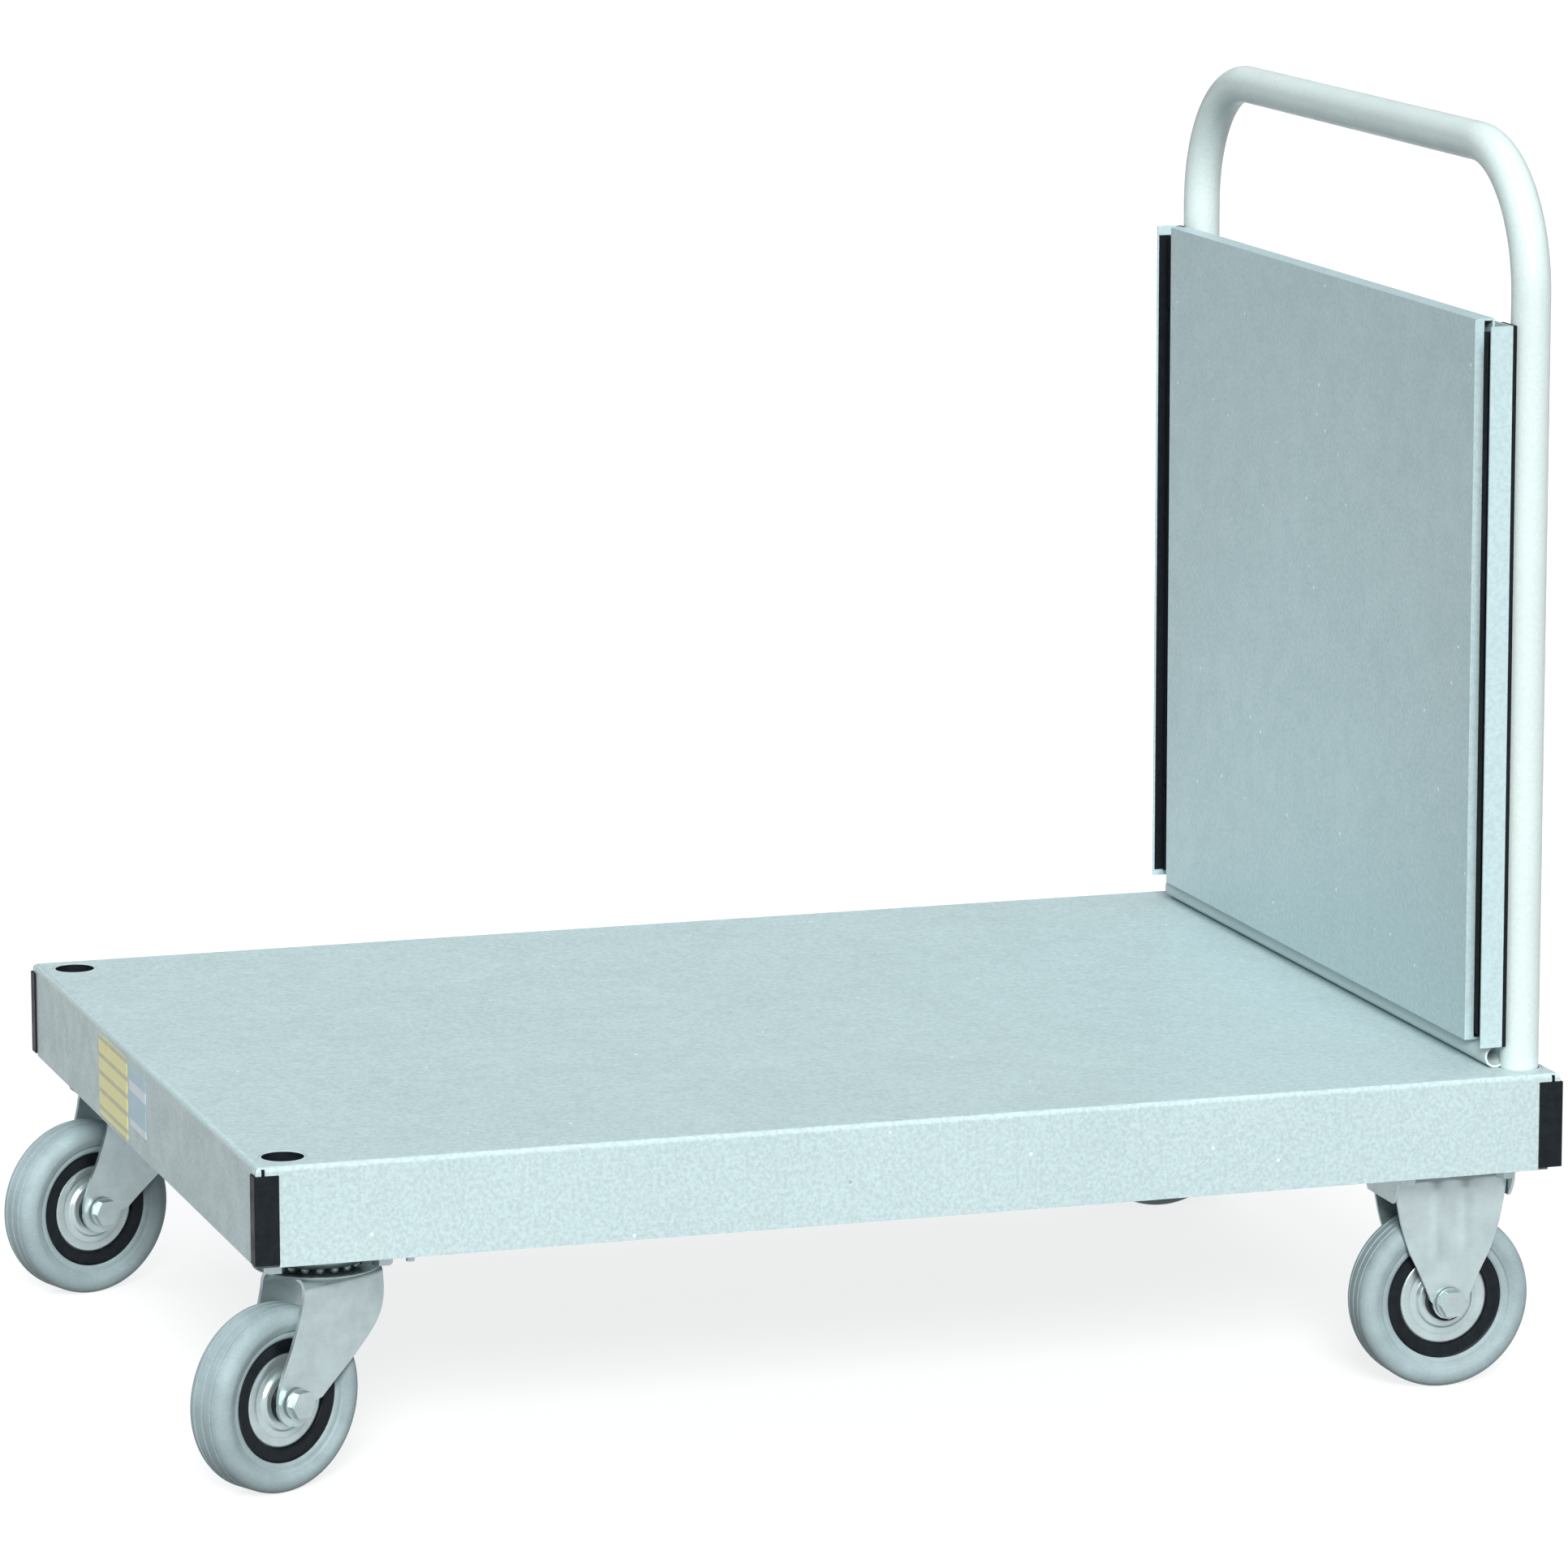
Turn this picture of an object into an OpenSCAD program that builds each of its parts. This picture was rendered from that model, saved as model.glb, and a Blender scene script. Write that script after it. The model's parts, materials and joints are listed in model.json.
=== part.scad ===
// Flatbed platform truck: a folded sheet deck on two swivel and two fixed casters,
// with a lift-out tube handle that carries a sheet panel.
// X runs along the deck towards the handle, Y across it, Z up from the floor.

/* [Deck] */
// Length of the deck
deck_l = 953; // [800:5:1200]
// Width of the deck
deck_w = 710; // [560:5:900]
// Height of the deck's folded skirts
skirt_h = 70; // [60:1:90]
// Thickness of the deck sheet
sheet_t = 1.5; // [1:0.1:2]
// Outside radius of the deck's folds
fold_r = 4; // [3:0.5:6]
// Width of the return flange under the skirts
flange_w = 24; // [22:1:24]
// Width of each corner cut-out along the long skirts
cut_long = 16; // [12:1:22]
// Width of each corner cut-out along the short skirts
cut_short = 11; // [10:1:22]
// Height of sheet left above each corner cut-out
cut_lip = 6; // [5:0.5:10]
// How far the corner caps stand proud of the skirts
cap_proud = 1.5; // [1:0.5:3]
// Depth of the stiffeners under the deck
rib_d = 25; // [15:1:40]
// Width of the stiffeners under the deck
rib_w = 40; // [25:1:60]
// Thickness of the cross members that the casters bolt to
cross_t = 3; // [2:0.5:5]
// Width of the cross members
cross_w = 125; // [115:1:150]

/* [Sockets] */
// Distance of the handle's sockets from the deck's rear end
leg_inset_x = 20; // [20:1:30]
// Distance of the free sockets from the deck's nose end
free_inset_x = 26; // [20:1:30]
// Distance of each socket's axis from the deck's side
leg_inset_y = 29; // [24:1:50]
// Wall of the socket tubes
socket_wall = 2; // [1.5:0.5:3]
// Length of the socket tubes under the deck's top
socket_l = 54; // [48:1:54]
// Clearance round a leg in its socket
socket_gap = 0.5; // [0.3:0.1:1]

/* [Handle] */
// Diameter of the handle tube
tube_d = 28; // [22:1:32]
// Wall of the handle tube
tube_wall = 1.5; // [1:0.5:2.5]
// Height of the grip bar's axis above the deck
grip_h = 652; // [600:1:850]
// Radius of the handle's bends
bend_r = 100; // [60:1:140]
// Depth that the legs reach into the sockets
leg_depth = 50; // [40:1:52]
// Diameter of the crossbar that rests on the deck
bar_d = 16; // [12:1:18]

/* [Panel] */
// Height of the panel
panel_h = 518; // [350:1:520]
// Gap between the deck and the panel
panel_gap = 17; // [16:1:40]
// Depth of the backing tray
tray_d = 16.5; // [16:0.5:22]
// How far the tray's edges stop short of the outside of the legs
tray_short = 5; // [3:1:8]
// Width of the open groove at each side of the panel
groove_w = 30; // [26:1:40]
// Thickness of the panel sheets
panel_t = 1.5; // [1:0.1:2]
// Depth of the lips along the panel's sides
lip_d = 7; // [5:1:8]
// How far the panel's face lies behind the tray's edges
face_set = 0.3; // [0:0.1:3]
// Thickness of the rubber strips between the tray and the legs
strip_t = 3; // [2.5:0.5:6]
// Thickness of the liners on the grooves' floors
liner_t = 6; // [3:0.5:6]

/* [Casters] */
// Diameter of the wheels
wheel_d = 130; // [100:1:135]
// Width of the tyres
wheel_w = 36; // [30:1:40]
// Height of the casters, from the floor to the top of the plate
caster_h = 165; // [160:1:180]
// Distance from the swivel axis back to the wheel's axle
trail = 40; // [30:1:50]
// Distance of the swivel axes from the deck's end
swivel_inset = 58; // [54:1:70]
// Distance of the fixed wheels' axles from the deck's end
fixed_inset = 65; // [54:1:72]
// Distance of every caster from the deck's side
side_inset = 65; // [60:1:120]
// Direction of the left swivel wheel at rest, in degrees
heading_left = 27; // [0:1:60]
// Direction of the right swivel wheel at rest, in degrees
heading_right = 20; // [0:1:60]
// Length of the caster plates
plate_l = 100; // [95:1:104]
// Width of the caster plates
plate_w = 85; // [80:1:90]
// Thickness of the caster plates and brackets
plate_t = 3; // [2.5:0.5:4]

/* [Label] */
// Length of the large plain label on the nose skirt
label_l = 92; // [60:1:120]
// Height of the large plain label
label_h = 60; // [30:1:60]

/* [Hidden] */
$fn = 72;

tiny = 0.3;          // seat and slide clearance between pieces
fine = 0.1;          // clearance inside bearings and round bolts
eps = 1;             // how far a cutting solid runs past a face
wheel_r = wheel_d / 2;
tube_r = tube_d / 2;

// heights
skirt_z = caster_h + cross_t;
deck_z = skirt_z + skirt_h;
grip_z = deck_z + grip_h;

// sockets and legs
socket_r = tube_r + socket_gap;
socket_out = socket_r + socket_wall;
leg_x = deck_l / 2 - leg_inset_x;
free_x = deck_l / 2 - free_inset_x;
leg_y = deck_w / 2 - leg_inset_y;

// tyre, rim and hub, outwards from the axle
axle_r = 6;
sleeve_r = 7.5;
hub_r = 15;
hub_w = 38;
guard_r = wheel_r * 0.515;
rim_r = wheel_r * 0.67;
rim_w = wheel_w - 10;
tyre_round = 9;

// forks and brackets
fork_gap = hub_w + 5;
fork_y = fork_gap / 2;
tip_r = 13;          // rounded foot of the fixed brackets
fork_tip = 16.5;     // rounded foot of the swivel forks
head_r = 38;
crown_r = 44.5;
crown_t = 4.5;
ball_r = 3;
ball_ring = 29;
ball_count = 18;
head_gap = 3;        // height between the head's race and the crown
head_z = caster_h - plate_t - 6;
crown_z = head_z - head_gap - crown_t;
pin_r = 6;

// bolts
hole_x = 76;
hole_y = 64;
bolt_r = 4;
bolt_af = 13;
bolt_head = 5.3;
frame_screw_r = 3;
frame_screw_x = 16;  // distance of the frame screws from the cross members' inner edges
frame_screw_y = 18.5; // distance of the frame screws from the deck's sides
nut_h = 6.5;
axle_af = 18;
axle_head = 7;

// panel
tray_back = leg_x - tube_r - strip_t;
tray_front = tray_back - tray_d;
tray_half = leg_y + tube_r - tray_short;
panel_half = tray_half - groove_w;
bar_x = leg_x - tube_r - 4;
face_x = tray_front + face_set;
floor_x = tray_back - panel_t;
panel_z = deck_z + panel_gap;
panel_top = panel_z + panel_h;
liner_up = 11;       // height of the liners' lower ends above the tray's lower edge
screw_r = 2.5;
nut_r = 3.4;         // outside of the blind rivet nuts in the legs
screw_z = [panel_z + 70, panel_top - 70];
rivet_r = 2;
rivet_count = 5;
rivet_drop = 7;      // distance of the rivets from the panel's upper and lower edges
rivet_pitch = 2 * (panel_half - 45) / (rivet_count - 1);

// the origin lies on the floor under the middle of the truck's outside box
function reach(a) =
    trail * cos(a) + (wheel_r - tyre_round) * cos(a) + (wheel_w / 2 - tyre_round) * sin(a) + tyre_round;
swivel_x = swivel_inset - deck_l / 2;
fixed_x = deck_l / 2 - fixed_inset;
caster_y = deck_w / 2 - side_inset;
nose_end = min(-deck_l / 2 - cap_proud, swivel_x - max(reach(heading_left), reach(heading_right)));
rear_end = deck_l / 2 + cap_proud;
mid_x = (nose_end + rear_end) / 2;

// colours
deck_colour = [0.74, 0.80, 0.81];
panel_colour = [0.63, 0.71, 0.73];
handle_colour = [0.90, 0.93, 0.93];
zinc_colour = [0.72, 0.76, 0.77];
black_colour = [0.11, 0.14, 0.17];
tyre_colour = [0.60, 0.65, 0.66];

// ---- places ----

module truck() translate([-mid_x, 0, 0]) children();

module at_nose_left() truck() translate([swivel_x, -caster_y, 0]) children();
module at_nose_right() truck() translate([swivel_x, caster_y, 0]) children();
module at_rear_left() truck() translate([fixed_x, -caster_y, 0]) children();
module at_rear_right() truck() translate([fixed_x, caster_y, 0]) children();

module turned_left() at_nose_left() rotate([0, 0, heading_left]) children();
module turned_right() at_nose_right() rotate([0, 0, heading_right]) children();

module wheel_left() turned_left() translate([-trail, 0, wheel_r]) children();
module wheel_right() turned_right() translate([-trail, 0, wheel_r]) children();
module wheel_fixed_left() at_rear_left() translate([0, 0, wheel_r]) children();
module wheel_fixed_right() at_rear_right() translate([0, 0, wheel_r]) children();

module mirrored_y() {
    children();
    mirror([0, 1, 0]) children();
}

// ---- shared shapes ----

// a rod along Y between two places
module rod_y(r, y0, y1) translate([0, y0, 0]) rotate([-90, 0, 0]) cylinder(r = r, h = y1 - y0);

// a rod along X between two places
module rod_x(r, x0, x1) translate([x0, 0, 0]) rotate([0, 90, 0]) cylinder(r = r, h = x1 - x0);

// a hexagon along Z with a given width across its flats
module hexagon(af, h) cylinder(r = af / sqrt(3), h = h, $fn = 6);

// a ring with a square section, round Y
module ring_y(inner, outer, y0, y1) {
    translate([0, y0, 0]) rotate([-90, 0, 0]) difference() {
        cylinder(r = outer, h = y1 - y0);
        translate([0, 0, -eps]) cylinder(r = inner, h = y1 - y0 + 2 * eps);
    }
}

// a block with rounded upper edges, standing on z = 0
module upright_section(w, h, r) {
    translate([-w / 2, 0]) square([w, h - r]);
    translate([-w / 2 + r, 0]) square([w - 2 * r, h]);
    for (s = [-1, 1]) translate([s * (w / 2 - r), h - r]) circle(r);
}

module folded_block(l, w, h, r) {
    intersection() {
        rotate([90, 0, 0]) linear_extrude(w, center = true) upright_section(l, h, r);
        rotate([90, 0, 90]) linear_extrude(l, center = true) upright_section(w, h, r);
    }
}

module at_sockets() {
    for (x = [-free_x, leg_x], y = [-leg_y, leg_y]) translate([x, y, 0]) children();
}

module at_corners() {
    for (x = [0, 1], y = [0, 1])
        mirror([x, 0, 0]) mirror([0, y, 0]) translate([-deck_l / 2, -deck_w / 2, 0]) children();
}

module at_bolts() {
    for (place = [[swivel_x, -caster_y], [swivel_x, caster_y], [fixed_x, -caster_y], [fixed_x, caster_y]])
        for (x = [-1, 1], y = [-1, 1])
            translate([place[0] + x * hole_x / 2, place[1] + y * hole_y / 2, 0]) children();
}

module at_frame_screws() {
    x = deck_l / 2 - 2 * sheet_t - cross_w + frame_screw_x;
    y = deck_w / 2 - frame_screw_y;
    for (a = [-x, x], b = [-y, y]) translate([a, b, 0]) children();
}

// ---- deck ----

// the return flanges stop short of the sockets and of the casters' bolts
module return_flanges() {
    clear_x = max(leg_inset_x, free_inset_x) + socket_out + 5;
    clear_y = side_inset + plate_w / 2 + 5;
    mirrored_y() translate([clear_x - deck_l / 2, sheet_t / 2 - deck_w / 2, skirt_z])
        cube([deck_l - 2 * clear_x, flange_w, sheet_t]);
    for (m = [0, 1]) mirror([m, 0, 0]) translate([sheet_t / 2 - deck_l / 2, clear_y - deck_w / 2, skirt_z])
        cube([flange_w, deck_w - 2 * clear_y, sheet_t]);
}

module deck_tray() color(deck_colour) truck() {
    inner_h = skirt_h - sheet_t + eps;
    slot_w = 2.5;
    slot_h = cut_lip - sheet_t;
    difference() {
        union() {
            translate([0, 0, skirt_z]) difference() {
                folded_block(deck_l, deck_w, skirt_h, fold_r);
                translate([0, 0, -eps])
                    folded_block(deck_l - 2 * sheet_t, deck_w - 2 * sheet_t, inner_h, fold_r - sheet_t);
            }
            return_flanges();
        }
        at_corners() translate([-eps, -eps, skirt_z - eps])
            cube([cut_long + eps, cut_short + eps, skirt_h - cut_lip + eps]);
        // relief slots beside each corner's tip
        at_corners() translate([-eps, -eps, deck_z - cut_lip - eps]) {
            translate([4 + eps, 0, 0]) cube([slot_w, sheet_t + 2 * eps, slot_h + eps]);
            translate([0, 4 + eps, 0]) cube([sheet_t + 2 * eps, slot_w, slot_h + eps]);
        }
        at_frame_screws() translate([0, 0, skirt_z - eps]) cylinder(r = frame_screw_r + fine, h = sheet_t + 2 * eps);
        at_sockets() translate([0, 0, skirt_z]) cylinder(r = socket_out + fine, h = skirt_h + eps);
    }
}

module cross_member(x0) color(deck_colour) truck() difference() {
    inset_y = 13;
    translate([x0, inset_y - deck_w / 2, caster_h]) cube([cross_w, deck_w - 2 * inset_y, cross_t]);
    at_bolts() translate([0, 0, caster_h - eps]) cylinder(r = bolt_r + fine, h = cross_t + 2 * eps);
    at_frame_screws() translate([0, 0, caster_h - eps])
        cylinder(r = frame_screw_r + fine / 2, h = cross_t + 2 * eps);
    for (y = [-1, 1]) translate([swivel_x, y * caster_y, caster_h - eps])
        cylinder(r = pin_r + 1, h = cross_t + 2 * eps);
}

module cross_member_nose() cross_member(2 * sheet_t - deck_l / 2);
module cross_member_rear() cross_member(deck_l / 2 - 2 * sheet_t - cross_w);

// two channels with their open side against the deck
module deck_stiffeners() color(deck_colour) truck() {
    rib_l = deck_l - 60;
    for (y = [-deck_w / 4, deck_w / 4]) translate([-rib_l / 2, y - rib_w / 2, deck_z - sheet_t - rib_d])
        difference() {
            cube([rib_l, rib_w, rib_d]);
            translate([-eps, sheet_t, sheet_t]) cube([rib_l + 2 * eps, rib_w - 2 * sheet_t, rib_d]);
        }
}

module socket(x, y) color(deck_colour) truck() translate([x, y, deck_z - socket_l]) difference() {
    cylinder(r = socket_out, h = socket_l);
    translate([0, 0, -eps]) cylinder(r = socket_r, h = socket_l + 2 * eps);
}

module socket_nose_left() socket(-free_x, -leg_y);
module socket_nose_right() socket(-free_x, leg_y);
module socket_rear_left() socket(leg_x, -leg_y);
module socket_rear_right() socket(leg_x, leg_y);

// an angle that fills the corner cut-out, with snap lips behind the skirts
module corner_cap() color(black_colour) {
    out = -cap_proud;
    back = sheet_t + fine;
    core = back + 1.6;
    hook = 5;
    foot = 2;
    cap_h = skirt_h - cut_lip - foot - fine;
    tongue = core - 0.4;
    tongue_w = 7;
    tongue_h = cut_lip - sheet_t - 0.8;
    translate([0, 0, skirt_z + foot]) {
        linear_extrude(cap_h) polygon([
            [out, out], [cut_long - fine, out], [cut_long - fine, back], [cut_long + hook, back],
            [cut_long + hook, core], [core, core], [core, cut_short + hook], [back, cut_short + hook],
            [back, cut_short - fine], [out, cut_short - fine]
        ]);
        // tongues that close the relief slots from inside
        translate([tongue, tongue, cap_h - tongue_h]) {
            cube([tongue_w, 1.6, 2 * tongue_h]);
            cube([1.6, tongue_w, 2 * tongue_h]);
        }
    }
}

module cap_nose_left() truck() translate([-deck_l / 2, -deck_w / 2, 0]) corner_cap();
module cap_nose_right() truck() mirror([0, 1, 0]) translate([-deck_l / 2, -deck_w / 2, 0]) corner_cap();
module cap_rear_left() truck() mirror([1, 0, 0]) translate([-deck_l / 2, -deck_w / 2, 0]) corner_cap();
module cap_rear_right()
    truck() mirror([1, 0, 0]) mirror([0, 1, 0]) translate([-deck_l / 2, -deck_w / 2, 0]) corner_cap();

// plain stickers on the nose skirt
label_t = 0.4;
label_mid_z = skirt_z + (skirt_h - fold_r) / 2;

module label_large() color([0.88, 0.88, 0.45]) truck()
    translate([-deck_l / 2 - label_t, 34.5, label_mid_z - label_h / 2]) cube([label_t, label_l, label_h]);

module label_small() color([0.55, 0.74, 0.82]) truck()
    translate([-deck_l / 2 - label_t, -24.5, label_mid_z - label_h / 2 + 13])
        cube([label_t, 52, label_h - 17]);

module mounting_bolts() color(zinc_colour) truck() at_bolts() {
    translate([0, 0, caster_h - plate_t - bolt_head]) hexagon(bolt_af, bolt_head);
    translate([0, 0, caster_h - plate_t - eps]) cylinder(r = bolt_r, h = plate_t + cross_t + nut_h + 2 + eps);
}

module mounting_nuts() color(zinc_colour) truck() at_bolts() translate([0, 0, skirt_z]) difference() {
    hexagon(bolt_af, nut_h);
    translate([0, 0, -eps]) cylinder(r = bolt_r + fine / 2, h = nut_h + 2 * eps);
}

// hexagon screws down through the return flanges into tapped holes in the cross members
module frame_screws() color(zinc_colour) truck() at_frame_screws() {
    past = 4;
    translate([0, 0, skirt_z + sheet_t]) hexagon(10, 4);
    translate([0, 0, caster_h - past]) cylinder(r = frame_screw_r, h = past + cross_t + sheet_t + eps);
}

// ---- casters ----

module plate_with_holes() {
    translate([0, 0, caster_h - plate_t]) difference() {
        translate([-plate_l / 2, -plate_w / 2, 0]) cube([plate_l, plate_w, plate_t]);
        for (x = [-1, 1], y = [-1, 1]) translate([x * hole_x / 2, y * hole_y / 2, -eps])
            cylinder(r = bolt_r + fine, h = plate_t + 2 * eps);
    }
}

// side view of a leg of the fixed bracket, with the axle at the given height
module bracket_outline() {
    top = caster_h - plate_t / 2;
    for (m = [0, 1]) mirror([m, 0]) polygon([
        [0, top], [44, top], [42, top - 21], [38, top - 42], [32, wheel_r + 38], [23, wheel_r + 20],
        [tip_r, wheel_r], [0, wheel_r]
    ]);
    translate([0, wheel_r]) circle(tip_r);
}

module bracket() color(zinc_colour) {
    gusset_h = 22;
    rib_z = wheel_r + 30;
    under = caster_h - plate_t / 2;
    difference() {
        union() {
            plate_with_holes();
            mirrored_y() {
                translate([0, fork_y + plate_t, 0]) rotate([90, 0, 0]) linear_extrude(plate_t)
                    bracket_outline();
                // pressed ribs down the leg
                for (x = [-11, 11]) translate([x, fork_y + plate_t, rib_z]) cylinder(r = 1.6, h = under - 8 - rib_z);
            }
            for (m = [0, 1]) mirror([m, 0, 0]) translate([plate_l / 2 - plate_t, 0, 0]) rotate([90, 0, 90])
                linear_extrude(plate_t)
                    polygon([[-33, under], [-25, under - gusset_h], [25, under - gusset_h], [33, under]]);
        }
        translate([0, 0, wheel_r]) rod_y(axle_r + fine, -plate_w, plate_w);
    }
}

module bracket_rear_left() at_rear_left() bracket();
module bracket_rear_right() at_rear_right() bracket();

// axle screw with a flanged head on the -Y side
module axle() color(zinc_colour) {
    head_y = -fork_y - plate_t;
    rotate([90, 0, 0]) {
        translate([0, 0, -head_y]) cylinder(r = 11, h = 1.5);
        translate([0, 0, -head_y]) hexagon(axle_af, axle_head);
    }
    rod_y(axle_r, head_y, -head_y + axle_head + 3);
}

module axle_nut() color(zinc_colour) {
    difference() {
        translate([0, fork_y + plate_t, 0]) rotate([-90, 0, 0]) {
            cylinder(r = 11, h = 1.5);
            hexagon(axle_af, axle_head);
        }
        rod_y(axle_r + fine / 2, 0, plate_w);
    }
}

module sleeve() color(zinc_colour) ring_y(axle_r + fine / 2, sleeve_r, -fork_y, fork_y);

module axle_rear_left() wheel_fixed_left() axle();
module axle_rear_right() wheel_fixed_right() axle();
module axle_nuts_rear() {
    wheel_fixed_left() axle_nut();
    wheel_fixed_right() axle_nut();
}
module sleeves_rear() {
    wheel_fixed_left() sleeve();
    wheel_fixed_right() sleeve();
}

// the swivel head: a plate with a pressed race under it
module head_plate() color(zinc_colour) difference() {
    union() {
        plate_with_holes();
        translate([0, 0, head_z]) cylinder(r = head_r, h = caster_h - plate_t / 2 - head_z);
    }
    translate([0, 0, head_z - eps]) cylinder(r = pin_r + fine / 2, h = caster_h);
    translate([0, 0, head_z - eps]) difference() {
        cylinder(r = ball_ring - ball_r - 1, h = eps + 3);
        cylinder(r = pin_r + 4, h = eps + 3);
    }
    translate([0, 0, head_z - head_gap / 2]) rotate_extrude() translate([ball_ring, 0]) circle(ball_r + fine);
}

module kingpin() color(zinc_colour) {
    translate([0, 0, crown_z - 3.5 - fine]) cylinder(r = 14, h = 3.5);
    translate([0, 0, crown_z - 3.6]) cylinder(r = pin_r, h = caster_h - crown_z + 5);
    translate([0, 0, crown_z - 8]) cylinder(r = 10, h = 5);
}

module balls() color(zinc_colour) for (i = [0 : ball_count - 1])
    rotate([0, 0, i * 360 / ball_count]) translate([ball_ring, 0, head_z - head_gap / 2]) sphere(ball_r, $fn = 24);

module head_plate_nose_left() at_nose_left() head_plate();
module head_plate_nose_right() at_nose_right() head_plate();
module kingpin_nose_left() at_nose_left() kingpin();
module kingpin_nose_right() at_nose_right() kingpin();
module balls_nose_left() at_nose_left() balls();
module balls_nose_right() at_nose_right() balls();

// side view of a fork leg: the wheel trails towards -X
module fork_outline() {
    top = crown_z + crown_t;
    polygon([
        [44, top], [44, top - 25], [40, top - 39], [31, top - 50], [-trail + 52, wheel_r + 22],
        [-trail + 30, wheel_r + 6], [-trail + 11, wheel_r - 12], [-trail - fork_tip, wheel_r],
        [-trail - fork_tip, wheel_r + 8], [-trail - 11, wheel_r + 22], [-43, top - 50],
        [-36, top - 32], [-31, top - 13], [-31, top]
    ]);
    translate([-trail, wheel_r]) circle(fork_tip);
}

module fork() color(zinc_colour) difference() {
    union() {
        translate([0, 0, crown_z]) cylinder(r = crown_r, h = crown_t);
        mirrored_y() translate([0, fork_y + plate_t, 0]) rotate([90, 0, 0]) linear_extrude(plate_t)
            fork_outline();
    }
    translate([0, 0, crown_z - eps]) cylinder(r = pin_r + fine, h = crown_t + 2 * eps);
    translate([0, 0, head_z - head_gap / 2]) rotate_extrude() translate([ball_ring, 0]) circle(ball_r + fine);
    translate([-trail, 0, wheel_r]) rod_y(axle_r + fine, -plate_w, plate_w);
}

module fork_nose_left() turned_left() fork();
module fork_nose_right() turned_right() fork();
module axle_nose_left() wheel_left() axle();
module axle_nose_right() wheel_right() axle();
module axle_nut_nose_left() wheel_left() axle_nut();
module axle_nut_nose_right() wheel_right() axle_nut();
module sleeve_nose_left() wheel_left() sleeve();
module sleeve_nose_right() wheel_right() sleeve();

// ---- wheels ----

// half of a wheel's section: x is the radius, y the distance from the wheel's middle
module tyre_section() {
    half = wheel_w / 2;
    difference() {
        union() {
            translate([rim_r, -rim_w / 2]) square([wheel_r - rim_r - tyre_round, rim_w]);
            translate([rim_r + 5, -half]) square([wheel_r - tyre_round - rim_r - 5, wheel_w]);
            translate([wheel_r - tyre_round - eps, tyre_round - half])
                square([tyre_round + eps, wheel_w - 2 * tyre_round]);
            for (s = [-1, 1]) translate([wheel_r - tyre_round, s * (half - tyre_round)]) circle(tyre_round);
        }
        for (y = [-9, 0, 9]) translate([wheel_r - 1.2, y - 0.6]) square([3, 1.2]);
    }
}

module tyre() color(tyre_colour) rotate([90, 0, 0]) rotate_extrude() tyre_section();

module rim() color(black_colour) {
    bed = rim_r - fine / 2;
    ring_y(guard_r, bed, -rim_w / 2, rim_w / 2);
    ring_y(hub_r - eps, guard_r + eps, -4, 4);
    ring_y(sleeve_r + fine, hub_r, -hub_w / 2, hub_w / 2);
}

// dished discs that keep threads out of the hub
module guards() color(zinc_colour) mirrored_y() {
    guard_y = rim_w / 2 - 2;
    ring_y(hub_r + fine / 2, guard_r - fine / 2, guard_y - 1.5, guard_y);
    ring_y(hub_r + fine / 2, hub_r + 5, guard_y - fine, guard_y + 3);
}

module tyre_nose_left() wheel_left() tyre();
module tyre_nose_right() wheel_right() tyre();
module tyre_rear_left() wheel_fixed_left() tyre();
module tyre_rear_right() wheel_fixed_right() tyre();
module rim_nose_left() wheel_left() rim();
module rim_nose_right() wheel_right() rim();
module rim_rear_left() wheel_fixed_left() rim();
module rim_rear_right() wheel_fixed_right() rim();
module guards_nose_left() wheel_left() guards();
module guards_nose_right() wheel_right() guards();
module guards_rear_left() wheel_fixed_left() guards();
module guards_rear_right() wheel_fixed_right() guards();

// ---- handle ----

module leg_places() for (y = [-leg_y, leg_y]) translate([leg_x, y, 0]) children();

// the tube's path at a given radius, with its open ends lengthened by past
module handle_path(r, past) {
    foot = deck_z - leg_depth;
    leg_places() translate([0, 0, foot - past]) cylinder(r = r, h = grip_z - bend_r - foot + past);
    mirrored_y() translate([leg_x, leg_y - bend_r, grip_z - bend_r]) rotate([90, 0, 90])
        rotate_extrude(angle = 90) translate([bend_r, 0]) circle(r);
    translate([leg_x, 0, grip_z]) rod_y(r, bend_r - leg_y, leg_y - bend_r);
}

module at_screws() for (y = [-leg_y, leg_y], z = screw_z) translate([0, y, z]) children();

module handle_tube() color(handle_colour) truck() difference() {
    handle_path(tube_r, 0);
    handle_path(tube_r - tube_wall, eps);
    at_screws() rod_x(nut_r + fine / 2, leg_x - tube_d, leg_x);
}

// the crossbar is coped to the front of the legs
module crossbar() color(handle_colour) truck() difference() {
    translate([bar_x, 0, deck_z + tiny + bar_d / 2]) {
        difference() {
            rod_y(bar_d / 2, -leg_y, leg_y);
            rod_y(bar_d / 2 - tube_wall, -leg_y - eps, leg_y + eps);
        }
    }
    leg_places() translate([0, 0, deck_z - eps]) cylinder(r = tube_r + fine / 2, h = bar_d + 3);
}

module leg_plugs() color(black_colour) truck() leg_places() translate([0, 0, deck_z - leg_depth]) {
    cylinder(r = tube_r - tube_wall - fine / 2, h = 10);
    translate([0, 0, -2]) cylinder(r = tube_r - 0.5, h = 2);
}

// ---- panel ----

module backing_tray() color(panel_colour) truck() difference() {
    union() {
        translate([floor_x, -tray_half, panel_z]) cube([panel_t, 2 * tray_half, panel_h - 2]);
        mirrored_y() translate([tray_front, tray_half - panel_t, panel_z])
            cube([tray_d, panel_t, panel_h - 2]);
    }
    at_screws() rod_x(screw_r + fine, floor_x - eps, tray_back + eps);
    at_rivets() rod_x(rivet_r + fine / 2, floor_x - eps, tray_back + eps);
}

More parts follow.
